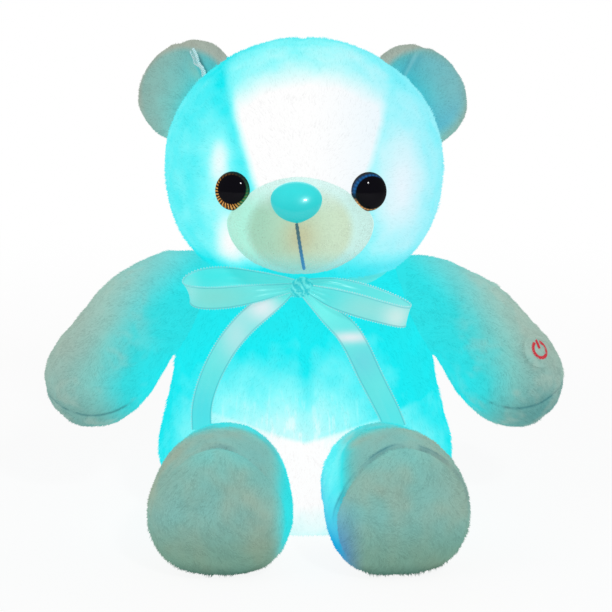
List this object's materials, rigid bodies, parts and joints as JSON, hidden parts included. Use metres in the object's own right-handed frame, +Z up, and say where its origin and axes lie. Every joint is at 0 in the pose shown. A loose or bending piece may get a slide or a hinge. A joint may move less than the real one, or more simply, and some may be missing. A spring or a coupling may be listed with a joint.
{
  "type": "plush night light",
  "caption": "Seated plush bear with a satin bow, lit from inside by lamps in the head and belly, switched by a press patch in one paw and powered from a zipped back pocket.",
  "frame": {"origin": "middle of the flat seat under the torso, on the surface the bear sits on", "axes": "+Z up, the face looks along -Y, +X towards the bear's own left arm"},
  "size_m": [0.3234, 0.2071, 0.298],
  "materials": {
    "plush": "short dense pile, lit cyan from inside",
    "pale_plush": "short pale blue pile",
    "stuffing": "loose polyester fibre",
    "cream_pile": "very short smooth pile",
    "nose": "smooth and glossy",
    "eye": "domed and glossy with a gold glitter ring",
    "white_plastic": "moulded",
    "blue_thread": "twisted thread",
    "red_thread": "satin stitch",
    "satin": "glossy satin ribbon",
    "clear_plastic": "clear moulded",
    "led": "lit",
    "circuit_board": "solder resist",
    "cell": "sleeved",
    "steel": "plated",
    "lead_wire": "insulated wire",
    "pouch_cloth": "plain woven cloth"
  },
  "bodies": {
    "torso": {"torso_cover": "plush", "torso_stuffing": "stuffing", "neck_ribbon": "satin", "bow_knot": "satin", "left_bow_loop": "satin", "right_bow_loop": "satin", "left_ribbon_tail": "satin", "right_ribbon_tail": "satin", "body_lamp_cover": "clear_plastic", "body_lamp_board": "circuit_board", "body_lamp_led": "led", "battery_case": "white_plastic", "first_cell": "cell", "second_cell": "cell", "third_cell": "cell", "lower_contact_strip": "steel", "upper_contact_strip": "steel", "control_board": "circuit_board", "battery_pouch": "pouch_cloth", "body_lamp_lead": "lead_wire", "neck_lead": "lead_wire", "switch_lead": "lead_wire", "left_zip_tape": "pale_plush", "right_zip_tape": "pale_plush"},
    "head": {"head_cover": "plush", "head_stuffing": "stuffing", "left_ear": "plush", "right_ear": "plush", "muzzle": "cream_pile", "nose": "nose", "nose_washer": "white_plastic", "left_eye": "eye", "right_eye": "eye", "left_eye_washer": "white_plastic", "right_eye_washer": "white_plastic", "mouth_stitch": "blue_thread", "head_lamp_cover": "clear_plastic", "head_lamp_board": "circuit_board", "head_lamp_led": "led", "head_lamp_lead": "lead_wire"},
    "left_arm": {"left_arm_cover": "plush", "left_arm_stuffing": "stuffing", "switch_housing": "white_plastic", "switch_spring": "steel", "switch_lead_arm": "lead_wire"},
    "paw_button": {"press_patch": "plush", "power_mark": "red_thread", "switch_button": "white_plastic"},
    "right_arm": {"right_arm_cover": "plush", "right_arm_stuffing": "stuffing"},
    "left_leg": {"left_leg_cover": "plush", "left_leg_stuffing": "stuffing", "left_sole": "pale_plush"},
    "right_leg": {"right_leg_cover": "plush", "right_leg_stuffing": "stuffing", "right_sole": "pale_plush"},
    "battery_door": {"battery_door": "white_plastic", "door_screw": "steel"},
    "zip_slider": {"zip_slider": "steel"},
    "zip_pull": {"zip_pull": "steel"}
  },
  "joints": [
    {"name": "head_turn", "type": "hinge", "parent": "torso", "child": "head", "pos_m": [0, 0, 0.158], "axis": [0, 0, 1], "range_deg": [-12, 12], "stiffness_Nm_per_rad": 0.4},
    {"name": "left_arm_swing", "type": "hinge", "parent": "torso", "child": "left_arm", "pos_m": [0.0745, 0, 0.138], "axis": [-0.9945, 0, -0.1045], "range_deg": [-15, 40], "stiffness_Nm_per_rad": 0.5},
    {"name": "right_arm_swing", "type": "hinge", "parent": "torso", "child": "right_arm", "pos_m": [-0.0745, 0, 0.138], "axis": [-0.9945, 0, 0.1045], "range_deg": [-15, 40], "stiffness_Nm_per_rad": 0.5},
    {"name": "left_leg_spread", "type": "hinge", "parent": "torso", "child": "left_leg", "pos_m": [0.046, -0.072, 0.0415], "axis": [0, 0, 1], "range_deg": [-5, 20], "stiffness_Nm_per_rad": 0.5},
    {"name": "right_leg_spread", "type": "hinge", "parent": "torso", "child": "right_leg", "pos_m": [-0.046, -0.072, 0.0415], "axis": [0, 0, -1], "range_deg": [-5, 20], "stiffness_Nm_per_rad": 0.5},
    {"name": "paw_button", "type": "slide", "parent": "left_arm", "child": "paw_button", "axis": [-0.5824, 0.6361, -0.5062], "range_m": [0, 0.002], "stiffness_N_per_m": 300},
    {"name": "battery_door_slide", "type": "slide", "parent": "torso", "child": "battery_door", "axis": [0, 0, 1], "range_m": [0, 0.01]},
    {"name": "zip_run", "type": "hinge", "parent": "torso", "child": "zip_slider", "pos_m": [0, -0.1488, 0.05], "axis": [-1, 0, 0], "range_deg": [0, 18]},
    {"name": "zip_pull_swing", "type": "hinge", "parent": "zip_slider", "child": "zip_pull", "pos_m": [0, 0.06476, 0.10241], "axis": [1, 0, 0], "range_deg": [0, 120]}
  ]
}
